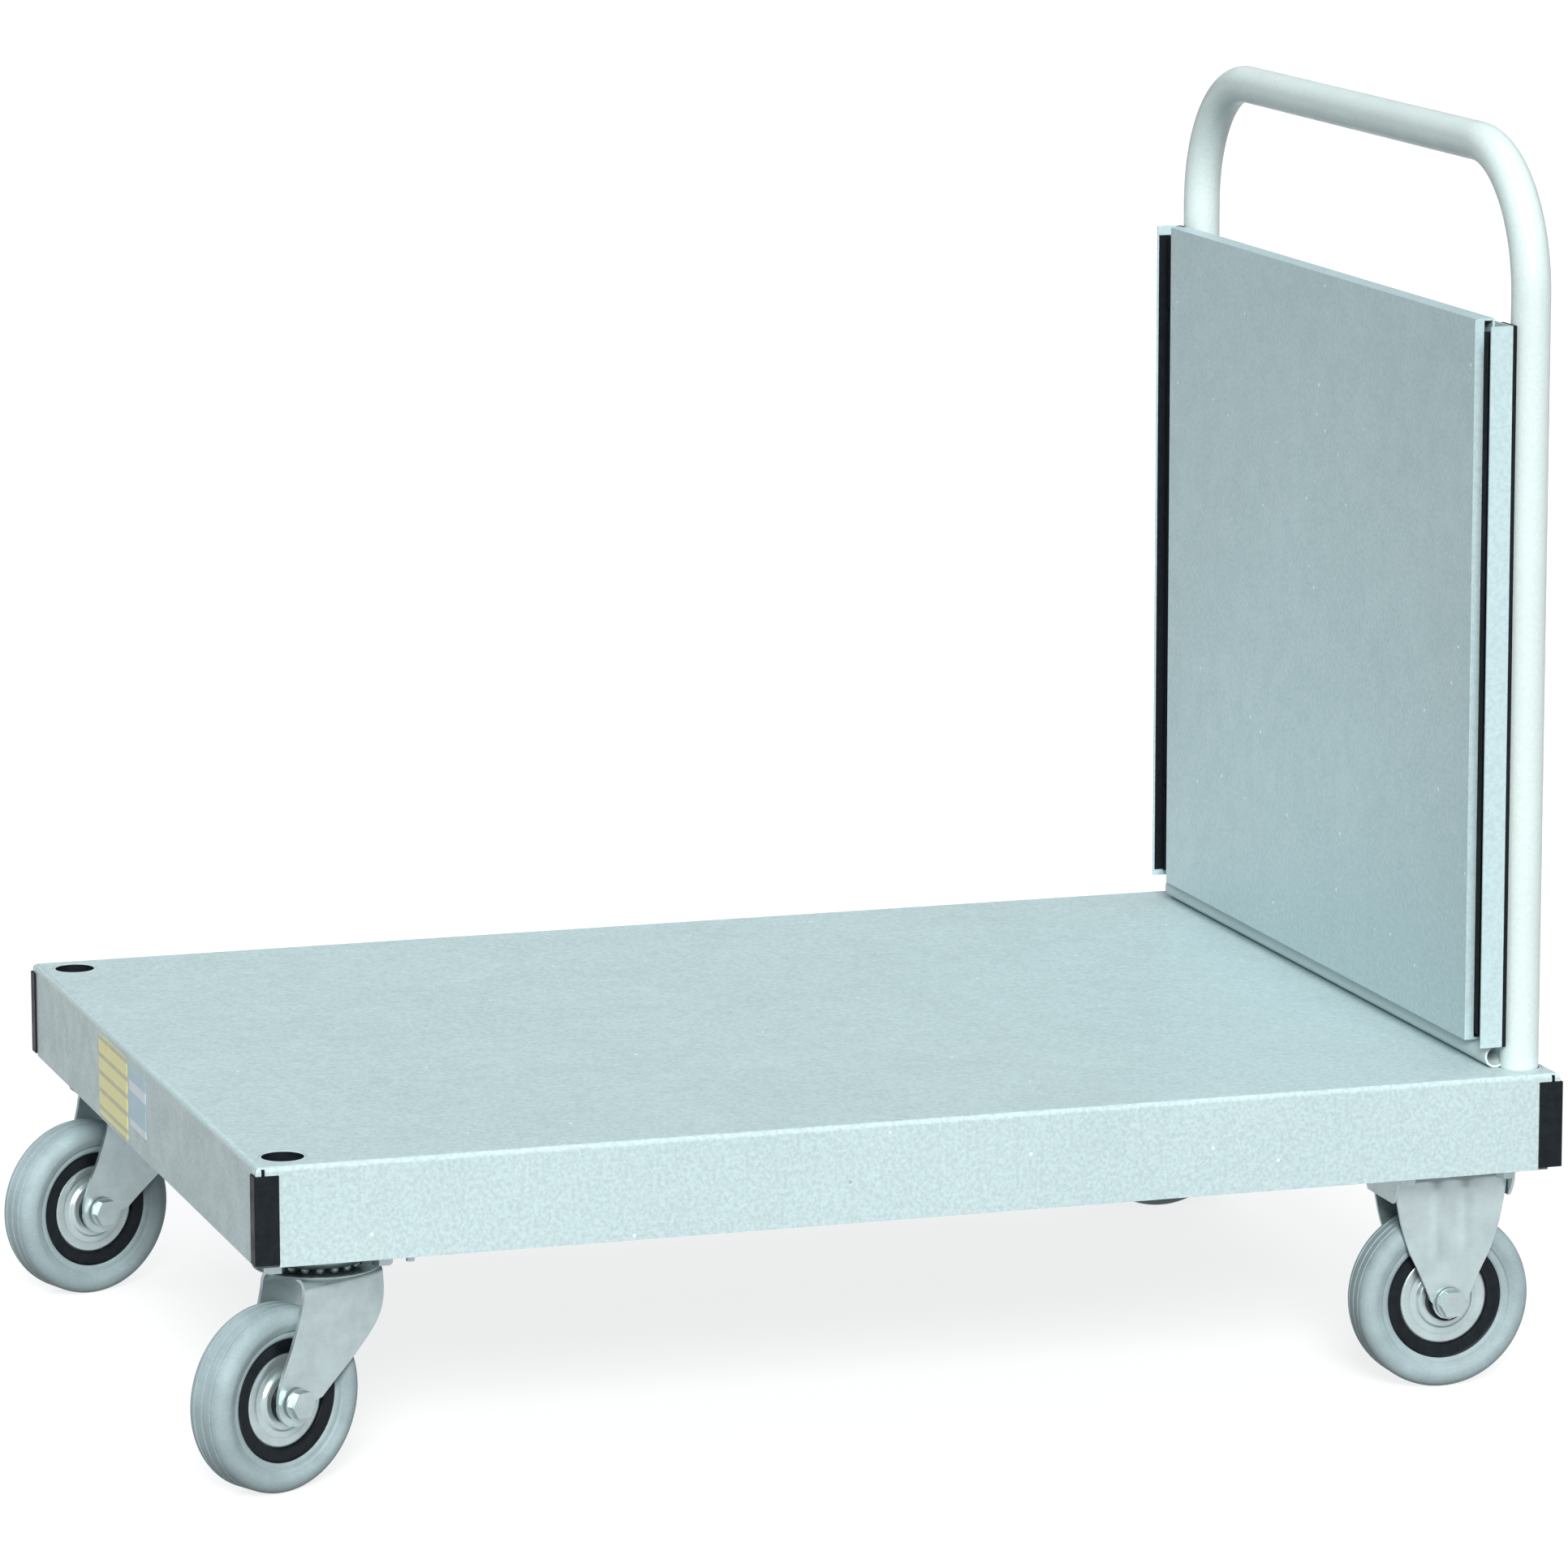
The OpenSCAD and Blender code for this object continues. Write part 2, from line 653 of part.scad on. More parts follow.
module at_rivets() {
    for (z = [panel_z + rivet_drop, panel_top - rivet_drop], i = [0 : rivet_count - 1])
        translate([0, (i - (rivet_count - 1) / 2) * rivet_pitch, z]) children();
}

module front_panel() color(panel_colour) truck() {
    back = floor_x - face_x;
    turn = 12;
    difference() {
        translate([face_x, -panel_half, panel_z]) {
            cube([panel_t, 2 * panel_half, panel_h]);
            for (y = [0, 2 * panel_half - panel_t]) translate([0, y, 0]) cube([lip_d, panel_t, panel_h]);
            for (z = [0, panel_h - panel_t]) translate([0, 0, z]) cube([back, 2 * panel_half, panel_t]);
            for (z = [0, panel_h - turn]) translate([back - panel_t, 0, z])
                cube([panel_t, 2 * panel_half, turn]);
        }
        at_rivets() rod_x(rivet_r + fine / 2, floor_x - panel_t - eps, floor_x + eps);
    }
}

// ribbed strips on the grooves' floors, with a lip up the outer wall
module groove_liners() color(black_colour) truck() {
    wall = tray_half - panel_t;
    under = panel_half + tiny;
    from_z = panel_z + 5;
    liner_h = panel_h - 14;
    difference() {
        mirrored_y() {
            translate([floor_x - liner_t, under, from_z]) cube([liner_t, wall - under, liner_h]);
            for (y = [under, wall - 8]) translate([floor_x - liner_t - 2, y, from_z]) cube([3, 8, liner_h]);
            translate([tray_front + 1, wall - 1, from_z]) cube([tray_d - panel_t - 2, 1, liner_h]);
        }
        at_screws() rod_x(5, tray_front - eps, floor_x + eps);
    }
}

module rubber_strips() color(black_colour) truck() difference() {
    mirrored_y() translate([tray_back, tray_half - 24, panel_z]) cube([strip_t, 24, panel_h - 2]);
    at_screws() rod_x(5 + fine, tray_back - eps, tray_back + strip_t + eps);
}

module panel_rivets() color(zinc_colour) truck() at_rivets() {
    rod_x(rivet_r, floor_x - panel_t, tray_back);
    rod_x(rivet_r + 0.8, floor_x - panel_t - 2, floor_x - panel_t);
    rod_x(rivet_r + 1.8, tray_back, tray_back + 1.2);
}

module panel_bolts() color(zinc_colour) truck() at_screws() {
    rod_x(4.5, floor_x - 3, floor_x);
    rod_x(screw_r, floor_x, leg_x - tube_r + 10);
}

// blind rivet nuts in the front of the legs
module panel_nuts() color(zinc_colour) truck() at_screws() difference() {
    union() {
        rod_x(5, leg_x - tube_r - strip_t, leg_x - tube_r);
        rod_x(nut_r, leg_x - tube_r, leg_x - tube_r + 9);
    }
    rod_x(screw_r + fine / 2, leg_x - tube_d, leg_x);
}

// ---- what is drawn ----

deck_tray();
cross_member_nose();
cross_member_rear();
deck_stiffeners();
socket_nose_left();
socket_nose_right();
socket_rear_left();
socket_rear_right();
cap_nose_left();
cap_nose_right();
cap_rear_left();
cap_rear_right();
label_large();
label_small();
mounting_bolts();
mounting_nuts();
frame_screws();
bracket_rear_left();
bracket_rear_right();
axle_rear_left();
axle_rear_right();
axle_nuts_rear();
sleeves_rear();
head_plate_nose_left();
head_plate_nose_right();
kingpin_nose_left();
kingpin_nose_right();
balls_nose_left();
balls_nose_right();
fork_nose_left();
fork_nose_right();
axle_nose_left();
axle_nose_right();
axle_nut_nose_left();
axle_nut_nose_right();
sleeve_nose_left();
sleeve_nose_right();
tyre_nose_left();
tyre_nose_right();
tyre_rear_left();
tyre_rear_right();
rim_nose_left();
rim_nose_right();
rim_rear_left();
rim_rear_right();
guards_nose_left();
guards_nose_right();
guards_rear_left();
guards_rear_right();
handle_tube();
crossbar();
leg_plugs();
backing_tray();
front_panel();
groove_liners();
rubber_strips();
panel_rivets();
panel_bolts();
panel_nuts();
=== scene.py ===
import json
import math

import bmesh
import bpy
from mathutils import Matrix, Vector


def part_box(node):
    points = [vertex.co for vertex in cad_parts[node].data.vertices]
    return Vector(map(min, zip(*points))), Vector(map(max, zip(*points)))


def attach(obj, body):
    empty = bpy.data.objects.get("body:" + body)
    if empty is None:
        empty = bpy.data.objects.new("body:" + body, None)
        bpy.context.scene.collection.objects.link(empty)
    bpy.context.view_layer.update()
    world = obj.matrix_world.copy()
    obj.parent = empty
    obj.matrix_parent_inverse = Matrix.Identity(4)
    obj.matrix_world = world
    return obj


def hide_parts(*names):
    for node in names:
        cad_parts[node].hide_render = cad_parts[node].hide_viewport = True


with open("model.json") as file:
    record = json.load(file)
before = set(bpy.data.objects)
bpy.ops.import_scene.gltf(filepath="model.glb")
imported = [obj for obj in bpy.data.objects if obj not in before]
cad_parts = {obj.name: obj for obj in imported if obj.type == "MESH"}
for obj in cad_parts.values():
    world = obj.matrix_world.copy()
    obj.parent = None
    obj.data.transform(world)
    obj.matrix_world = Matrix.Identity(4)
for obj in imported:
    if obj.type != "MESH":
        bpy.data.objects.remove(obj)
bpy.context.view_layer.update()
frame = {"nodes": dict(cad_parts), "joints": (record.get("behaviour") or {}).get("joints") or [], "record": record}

bodyOf = {}
for bodyName, nodeNames in frame["record"]["behaviour"]["bodies"].items():
    for nodeName in nodeNames:
        bodyOf[nodeName] = bodyName
slotOf = {s["node"]: s["material_slot"] for s in frame["record"]["subparts"]}

mm = 0.001
mergeWithin = 1e-6


def newFinish(name):
    finish = bpy.data.materials.new(name)
    finish.use_nodes = True
    tree = finish.node_tree
    shader = tree.nodes["Principled BSDF"]
    place = tree.nodes.new("ShaderNodeTexCoord").outputs["Object"]
    return finish, tree, shader, place


def stretched(tree, place, scale):
    mapping = tree.nodes.new("ShaderNodeMapping")
    mapping.inputs["Scale"].default_value = scale
    tree.links.new(place, mapping.inputs["Vector"])
    return mapping.outputs["Vector"]


def grain(tree, place, scale, detail=3.0, roughness=0.5):
    noise = tree.nodes.new("ShaderNodeTexNoise")
    noise.inputs["Scale"].default_value = scale
    noise.inputs["Detail"].default_value = detail
    noise.inputs["Roughness"].default_value = roughness
    tree.links.new(place, noise.inputs["Vector"])
    return noise.outputs["Fac"]


def ramp(tree, value, stops):
    node = tree.nodes.new("ShaderNodeValToRGB")
    marks = node.color_ramp.elements
    while len(marks) < len(stops):
        marks.new(0.5)
    for mark, (at, colour) in zip(marks, stops):
        mark.position = at
        mark.color = (*colour, 1.0) if len(colour) == 3 else colour
    tree.links.new(value, node.inputs["Fac"])
    return node.outputs["Color"]


def blendColour(tree, amount, first, second, how="MIX"):
    mix = tree.nodes.new("ShaderNodeMix")
    mix.data_type = "RGBA"
    mix.blend_type = how
    for socket, value in ((mix.inputs["Factor"], amount), (mix.inputs["A"], first), (mix.inputs["B"], second)):
        if hasattr(value, "links"):
            tree.links.new(value, socket)
        elif isinstance(value, tuple):
            socket.default_value = (*value, 1.0)
        else:
            socket.default_value = value
    return mix.outputs["Result"]


def bumped(tree, shader, height, strength, distance):
    bump = tree.nodes.new("ShaderNodeBump")
    bump.inputs["Strength"].default_value = strength
    bump.inputs["Distance"].default_value = distance
    tree.links.new(height, bump.inputs["Height"])
    tree.links.new(bump.outputs["Normal"], shader.inputs["Normal"])


def spots(tree, place, scale, size, keep):
    cells = tree.nodes.new("ShaderNodeTexVoronoi")
    cells.inputs["Scale"].default_value = scale
    tree.links.new(place, cells.inputs["Vector"])
    near = tree.nodes.new("ShaderNodeMath")
    near.operation = "LESS_THAN"
    near.inputs[1].default_value = size
    tree.links.new(cells.outputs["Distance"], near.inputs[0])
    split = tree.nodes.new("ShaderNodeSeparateColor")
    tree.links.new(cells.outputs["Color"], split.inputs["Color"])
    chosen = tree.nodes.new("ShaderNodeMath")
    chosen.operation = "GREATER_THAN"
    chosen.inputs[1].default_value = keep
    tree.links.new(split.outputs["Red"], chosen.inputs[0])
    both = tree.nodes.new("ShaderNodeMath")
    both.operation = "MULTIPLY"
    tree.links.new(near.outputs[0], both.inputs[0])
    tree.links.new(chosen.outputs[0], both.inputs[1])
    return both.outputs[0]


# how many grains or spots to the metre, and the size of a spot as a share of its cell
paint = {
    "fine": 330, "broad": 9, "gloss": 60, "peel": 700, "paleSpots": 38, "paleSize": 0.05, "darkSpots": 31,
    "darkSize": 0.034, "peelStrength": 0.125,
}


def powderCoat(name, colour, mottle, rough=0.42, spotty=True):
    finish, tree, shader, place = newFinish(name)
    dark = tuple(c * (1 - mottle) for c in colour)
    light = tuple(min(1.0, c * (1 + mottle)) for c in colour)
    fine = ramp(tree, grain(tree, place, paint["fine"], 3.0, 0.7), [(0.38, dark), (0.62, light)])
    broad = ramp(tree, grain(tree, place, paint["broad"], 3.0), [(0.3, (0.95, 0.955, 0.96)), (0.7, (1.0, 1.0, 1.0))])
    base = blendColour(tree, 1.0, fine, broad, "MULTIPLY")
    if spotty:
        pale = spots(tree, place, paint["paleSpots"], paint["paleSize"], 0.72)
        base = blendColour(tree, pale, base, tuple(min(1.0, c * 1.55) for c in colour))
        dim = spots(tree, place, paint["darkSpots"], paint["darkSize"], 0.84)
        base = blendColour(tree, dim, base, tuple(c * 0.6 for c in colour))
    tree.links.new(base, shader.inputs["Base Color"])
    cloud = grain(tree, place, paint["gloss"], 4.0)
    gloss = ramp(tree, cloud, [(0.35, (rough - 0.05,) * 3), (0.65, (rough + 0.07,) * 3)])
    tree.links.new(gloss, shader.inputs["Roughness"])
    shader.inputs["Specular IOR Level"].default_value = 0.45
    bumped(tree, shader, grain(tree, place, paint["peel"], 2.0), paint["peelStrength"], 0.4 * mm)
    return finish


def zincPlate(name, colour, rough=0.34):
    finish, tree, shader, place = newFinish(name)
    cloud = grain(tree, place, 55, 5.0, 0.6)
    dark = tuple(c * 0.84 for c in colour)
    base = ramp(tree, cloud, [(0.3, dark), (0.68, colour)])
    drawn = grain(tree, stretched(tree, place, (35, 35, 600)), 1.0, 2.0)
    base = blendColour(tree, 0.12, base, ramp(tree, drawn, [(0.35, (0.75,) * 3), (0.65, (1.0,) * 3)]), "MULTIPLY")
    tree.links.new(base, shader.inputs["Base Color"])
    tree.links.new(
        ramp(tree, grain(tree, place, 130, 4.0), [(0.3, (rough - 0.07,) * 3), (0.7, (rough + 0.1,) * 3)]),
        shader.inputs["Roughness"])
    shader.inputs["Metallic"].default_value = 0.75
    bumped(tree, shader, cloud, 0.12, 0.4 * mm)
    return finish


def mouldedPlastic(name, colour, rough=0.5):
    finish, tree, shader, place = newFinish(name)
    light = tuple(c * 1.5 + 0.003 for c in colour)
    base = ramp(tree, grain(tree, place, 180, 4.0), [(0.35, colour), (0.75, light)])
    tree.links.new(base, shader.inputs["Base Color"])
    tree.links.new(
        ramp(tree, grain(tree, place, 90, 3.0), [(0.3, (rough - 0.08,) * 3), (0.7, (rough + 0.1,) * 3)]),
        shader.inputs["Roughness"])
    shader.inputs["Specular IOR Level"].default_value = 0.16
    bumped(tree, shader, grain(tree, place, 900, 2.0), 0.18, 0.3 * mm)
    return finish


def greyRubber(name, colour):
    finish, tree, shader, place = newFinish(name)
    scuff = grain(tree, place, 38, 6.0, 0.62)
    base = ramp(tree, scuff, [(0.3, tuple(c * 0.86 for c in colour)), (0.7, tuple(min(1, c * 1.12) for c in colour))])
    fine = ramp(tree, grain(tree, place, 520, 2.0), [(0.35, (0.93,) * 3), (0.65, (1.0,) * 3)])
    base = blendColour(tree, 1.0, base, fine, "MULTIPLY")
    tree.links.new(base, shader.inputs["Base Color"])
    tree.links.new(ramp(tree, scuff, [(0.3, (0.52,) * 3), (0.7, (0.68,) * 3)]), shader.inputs["Roughness"])
    shader.inputs["Specular IOR Level"].default_value = 0.35
    bumped(tree, shader, grain(tree, place, 420, 3.0), 0.2, 0.4 * mm)
    return finish


def stickerFilm(name, colour, rule, pitch):
    finish, tree, shader, place = newFinish(name)
    rows = tree.nodes.new("ShaderNodeTexWave")
    rows.wave_type = "BANDS"
    rows.bands_direction = "Z"
    rows.inputs["Scale"].default_value = pitch
    tree.links.new(place, rows.inputs["Vector"])
    lines = ramp(tree, rows.outputs["Fac"], [(0.80, (0.0,) * 3), (0.86, (1.0,) * 3)])
    worn = grain(tree, place, 140, 3.0)
    paper = ramp(tree, worn, [(0.3, tuple(c * 0.93 for c in colour)), (0.7, colour)])
    tree.links.new(blendColour(tree, lines, paper, rule), shader.inputs["Base Color"])
    tree.links.new(ramp(tree, worn, [(0.3, (0.3,) * 3), (0.7, (0.42,) * 3)]), shader.inputs["Roughness"])
    return finish


colours = {
    "deck": (0.49, 0.625, 0.65),
    "panel": (0.49, 0.645, 0.68),
    "handle": (0.66, 0.78, 0.78),
    "zinc": (0.51, 0.61, 0.63),
    "black": (0.004, 0.007, 0.010),
    "tyre": (0.33, 0.43, 0.46),
}
finishes = {
    "deck_paint": powderCoat("deckPaint", colours["deck"], mottle=0.10),
    # a near-black finish painted as shade inside the socket bores
    "bore_shade": mouldedPlastic("boreShade", colours["black"], rough=0.6),
    "panel_paint": powderCoat("panelPaint", colours["panel"], mottle=0.07),
    "handle_paint": powderCoat("handlePaint", colours["handle"], mottle=0.03, spotty=False, rough=0.36),
    "zinc_plate": zincPlate("zincPlate", colours["zinc"]),
    "black_plastic": mouldedPlastic("blackPlastic", colours["black"]),
    "rim_plastic": mouldedPlastic("rimPlastic", colours["black"], rough=0.42),
    "black_rubber": mouldedPlastic("blackRubber", (0.003, 0.005, 0.008), rough=0.7),
    "tyre_rubber": greyRubber("greyRubber", colours["tyre"]),
    "label_yellow": stickerFilm("labelYellow", (0.80, 0.78, 0.27), (0.42, 0.43, 0.22), 24),
    "label_blue": stickerFilm("labelBlue", (0.33, 0.55, 0.68), (0.62, 0.76, 0.82), 11),
}
print("finishes made")


def finishPiece(name, shape, body, slot, nodes, smooth=32):
    mesh = bpy.data.meshes.new(name)
    shape.to_mesh(mesh)
    shape.free()
    mesh.materials.append(finishes[slot])
    for face in mesh.polygons:
        face.use_smooth = True
    mesh.set_sharp_from_angle(angle=math.radians(smooth))
    piece = bpy.data.objects.new(name, mesh)
    bpy.context.scene.collection.objects.link(piece)
    flats = piece.modifiers.new("flats", "WEIGHTED_NORMAL")
    flats.keep_sharp = True
    flats.weight = 100
    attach(piece, body)
    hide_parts(*nodes)
    return piece


def bevelSharp(shape, width, segments=2, above=35):
    sharp = [e for e in shape.edges if len(e.link_faces) == 2 and e.calc_face_angle(0) > math.radians(above)]
    bmesh.ops.bevel(shape, geom=sharp, offset=width, offset_type="OFFSET", segments=segments, profile=0.5,
        affect="EDGES", clamp_overlap=True, material=-1)


# a node of the frame with its sharp edges rounded a little, for shapes that are right already
def softenedCopy(node, edge):
    shape = bmesh.new()
    shape.from_mesh(frame["nodes"][node].data)
    bmesh.ops.remove_doubles(shape, verts=shape.verts, dist=mergeWithin)
    bmesh.ops.dissolve_limit(shape, angle_limit=math.radians(1), verts=shape.verts, edges=shape.edges)
    bevelSharp(shape, edge)
    return finishPiece(node + ".finished", shape, bodyOf[node], slotOf[node], [node])


# painted shade: the inside of a socket gets a near-black finish that stands in for the shadow deep in the bore
def paintBoreShade(piece):
    low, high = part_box(piece.name.split(".")[0])
    axis = Vector(((low[0] + high[0]) / 2, (low[1] + high[1]) / 2))
    piece.data.materials.append(finishes["bore_shade"])
    for face in piece.data.polygons:
        outwards = face.center.xy - axis
        if face.normal.z < 0.5 and face.normal.xy.dot(outwards) < 0:
            face.material_index = 1


# a ring turned round the wheel's axle
def turnedRing(shape, profile, steps):
    corners = [shape.verts.new((r * mm, y * mm, 0)) for r, y in profile]
    sides = [shape.edges.new((corners[i], corners[(i + 1) % len(corners)])) for i in range(len(corners))]
    bmesh.ops.spin(shape, geom=corners + sides, cent=(0, 0, 0), axis=(0, 1, 0), angle=math.tau, steps=steps,
        use_merge=True, use_duplicate=False)
    bmesh.ops.remove_doubles(shape, verts=shape.verts, dist=1e-7)


def closeShell(shape):
    bmesh.ops.remove_doubles(shape, verts=shape.verts, dist=mergeWithin)
    bmesh.ops.recalc_face_normals(shape, faces=shape.faces)


wheelLow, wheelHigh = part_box("tyre_rear_left")
wheelSizes = {
    "radius": (wheelHigh[2] - wheelLow[2]) / 2 / mm, "half": (wheelHigh[1] - wheelLow[1]) / 2 / mm,
    "bed": 0.67, "guard": 0.515,  # shares of the radius, as the frame has them
    "shoulder": 9.0, "grooves": (8.0, 0.0), "grooveWidth": 1.5, "grooveDepth": 1.6, "hub": 15.0, "sleeve": 7.6,
    "tyreSteps": 128, "rimSteps": 96,
}
places = {}
for corner in ("nose_left", "nose_right", "rear_left", "rear_right"):
    low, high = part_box("tyre_" + corner)
    centre = Vector([(low[i] + high[i]) / 2 for i in range(3)])
    turn = 0.0
    for joint in frame["joints"]:
        if joint["child"] == "wheel_" + corner:
            turn = math.atan2(-joint["axis"][0], joint["axis"][1])
    places[corner] = Matrix.Translation(centre) @ Matrix.Rotation(turn, 4, "Z")


def mirroredProfile(side):
    return side + [(r, -y) for r, y in reversed(side)]


# from the bead out over the side wall, the round shoulder and the tread's grooves
def tyreProfile(w):
    r, half, sh, bed = w["radius"], w["half"], w["shoulder"], w["bed"] * w["radius"]
    side = [(bed, 12.9), (bed + 0.5, 13.5), (bed + 1.6, 14.2), (bed + 2.8, 14.4), (bed + 4.6, 14.4),
        (bed + 5.3, 14.8), (bed + 5.8, 15.7), (bed + 7.0, 16.3), (bed + 9.4, half - 0.7), (r - sh - 1.6, half - 0.1)]
    for step in range(0, 8):
        turn = math.radians(90 - 90 * step / 7)
        side.append((r - sh + sh * math.cos(turn), half - sh + sh * math.sin(turn)))
    edge, depth = w["grooveWidth"] / 2, w["grooveDepth"]
    for groove in w["grooves"]:
        side += [(r, groove + edge + 0.3), (r - 0.3, groove + edge), (r - depth, groove + edge - 0.3)]
        if groove > 0:
            side += [(r - depth, groove - edge + 0.3), (r - 0.3, groove - edge), (r, groove - edge - 0.3)]
    return mirroredProfile(side)


def rimProfile(w):
    bed, guard = w["bed"] * w["radius"], w["guard"] * w["radius"]
    return mirroredProfile([
        (w["sleeve"], 18.6), (w["sleeve"] + 0.4, 19.0), (w["hub"] - 0.4, 19.0), (w["hub"], 18.6), (w["hub"], 4.6),
        (15.6, 4.0), (guard - 0.6, 4.0), (guard, 4.6), (guard, 11.6), (guard + 0.5, 12.3), (guard + 1.4, 12.6),
        (guard + 3.0, 12.5), (bed - 2.6, 12.1), (bed - 1.2, 12.3), (bed - 0.3, 12.9), (bed - 0.1, 12.5)])


def guardProfile(w):
    guard = w["guard"] * w["radius"]
    return [(15.1, 12.4), (18.4, 12.4), (19.4, 11.4), (20.2, 9.9), (21.4, 9.5), (guard - 2.5, 9.5),
        (guard - 1.4, 9.0), (guard - 0.3, 8.6), (guard - 0.1, 9.4), (guard - 0.4, 10.3), (guard - 1.6, 10.9),
        (guard - 2.8, 11.0), (26.8, 11.0), (26.2, 10.7), (25.4, 10.7), (24.8, 11.0), (22.4, 11.1), (21.4, 11.8),
        (20.6, 12.9), (19.6, 13.8), (18.4, 14.0), (15.1, 14.0)]


def makeWheel(corner):
    body = "wheel_" + corner
    tyre = bmesh.new()
    turnedRing(tyre, tyreProfile(wheelSizes), wheelSizes["tyreSteps"])
    closeShell(tyre)
    tyre.transform(places[corner])
    finishPiece("tyre." + corner, tyre, body, "tyre_rubber", ["tyre_" + corner])
    rim = bmesh.new()
    turnedRing(rim, rimProfile(wheelSizes), wheelSizes["rimSteps"])
    closeShell(rim)
    rim.transform(places[corner])
    finishPiece("rim." + corner, rim, body, "rim_plastic", ["rim_" + corner])
    guards = bmesh.new()
    turnedRing(guards, guardProfile(wheelSizes), wheelSizes["rimSteps"])
    turnedRing(guards, [(r, -y) for r, y in guardProfile(wheelSizes)], wheelSizes["rimSteps"])
    closeShell(guards)
    guards.transform(places[corner])
    finishPiece("guards." + corner, guards, body, "zinc_plate", ["guards_" + corner], smooth=50)


for corner in places:
    makeWheel(corner)
print("wheels made")


def along(points, z):
    points = sorted(points)
    if z <= points[0][0]:
        return points[0][1]
    for (z0, x0), (z1, x1) in zip(points, points[1:]):
        if z <= z1:
            return x0 + (x1 - x0) * (z - z0) / (z1 - z0)
    return points[-1][1]


def eased(points, z, reach=6.0):
    return sum(along(points, z + reach * k / 3) for k in range(-3, 4)) / 7


pressing = {"acrossSteps": 28, "downSteps": 64, "curlFrom": 20, "ribFade": 8}


# a flat grid laid over the bend and down the leg, widened to the leg's outline at each height
def pressedLeg(shape, leg, side):
    sheet = bmesh.ops.create_grid(shape, x_segments=pressing["acrossSteps"],
        y_segments=pressing["downSteps"], size=1.0)["verts"]
    bend, top = leg["bend"], leg["top"]
    x0, z0 = leg["axle"]
    tip = leg["tip"]
    arc = bend * math.pi / 2
    total = arc + top - bend - (z0 - tip)
    for vert in sheet:
        across = vert.co.x
        run = (1 - vert.co.y) / 2 * total
        y, z = leg["wall"], top - bend - (run - arc)
        if run < arc:
            y = leg["wall"] - bend + bend * math.sin(run / bend)
            z = top - bend + bend * math.cos(run / bend)
        rear, front = eased(leg["rear"], z), eased(leg["front"], z)
        if z < z0:
            half = math.sqrt(max(0.0, tip * tip - (z0 - z) ** 2))
            rear, front = x0 - half, x0 + half
        x = (rear + front) / 2 + across * (front - rear) / 2
        start = z0 + pressing["curlFrom"]
        high = min(1.0, max(0.0, (z - start) / (top - bend - start)))
        y -= leg["curl"] * max(0.0, across) ** 4 * high
        for ribX, ribLow, ribHigh, ribHalf, ribOut in leg["ribs"]:
            near = max(0.0, 1 - abs(x - ribX) / ribHalf)
            fade = pressing["ribFade"]
            ends = min(1.0, max(0.0, (z - ribLow) / fade), max(0.0, (ribHigh - z) / fade))
            y += ribOut * math.sin(near * math.pi / 2) ** 2 * ends
        vert.co = Vector((x * mm, side * y * mm, z * mm))
    bmesh.ops.remove_doubles(shape, verts=sheet, dist=mergeWithin)


def joinShape(shape, extra):
    mesh = bpy.data.meshes.new("joined")
    extra.to_mesh(mesh)
    extra.free()
    shape.from_mesh(mesh)
    bpy.data.meshes.remove(mesh)


# two mirrored legs, each pressed from one sheet with a round bend at its top
def sheetLegs(leg, thickness=2.6):
    shape = bmesh.new()
    for side in (-1, 1):
        pressedLeg(shape, leg, side)
    bmesh.ops.recalc_face_normals(shape, faces=shape.faces)
    bmesh.ops.solidify(shape, geom=shape.faces[:], thickness=thickness * mm)
    bmesh.ops.recalc_face_normals(shape, faces=shape.faces)
    return shape


# a ring turned round the upright axis
def turnedUpright(profile, steps=96):
    shape = bmesh.new()
    corners = [shape.verts.new((r * mm, 0, z * mm)) for r, z in profile]
    sides = [shape.edges.new((corners[i], corners[(i + 1) % len(corners)])) for i in range(len(corners))]
    bmesh.ops.spin(shape, geom=corners + sides, cent=(0, 0, 0), axis=(0, 0, 1), angle=math.tau, steps=steps,
        use_merge=True, use_duplicate=False)
    closeShell(shape)
    return shape


plateSizes = {"length": 100.0, "width": 85.0, "thickness": 3.0, "corner": 7.0}


def topPlate(top):
    plate = bmesh.new()
    slab = bmesh.ops.create_cube(plate, size=1.0)["verts"]
    p = plateSizes
    bmesh.ops.scale(plate, vec=(p["length"] * mm, p["width"] * mm, p["thickness"] * mm), verts=slab)
    bmesh.ops.translate(plate, vec=(0, 0, (top - p["thickness"] / 2) * mm), verts=slab)
    upright = [e for e in plate.edges if abs(e.verts[0].co.z - e.verts[1].co.z) > mm]
    bmesh.ops.bevel(plate, geom=upright, offset=p["corner"] * mm, offset_type="OFFSET", segments=6, profile=0.5,
        affect="EDGES", material=-1)
    bevelSharp(plate, 0.5 * mm)
    return plate


swivels = {j["child"].replace("swivel_", ""): j for j in frame["joints"] if j["child"].startswith("swivel_nose")}
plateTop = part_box("bracket_rear_left")[1][2] / mm
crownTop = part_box("fork_nose_left")[1][2] / mm
axleHigh = wheelSizes["radius"]
trail = (Vector(swivels["nose_left"]["pos_m"]).xy - places["nose_left"].translation.xy).length / mm

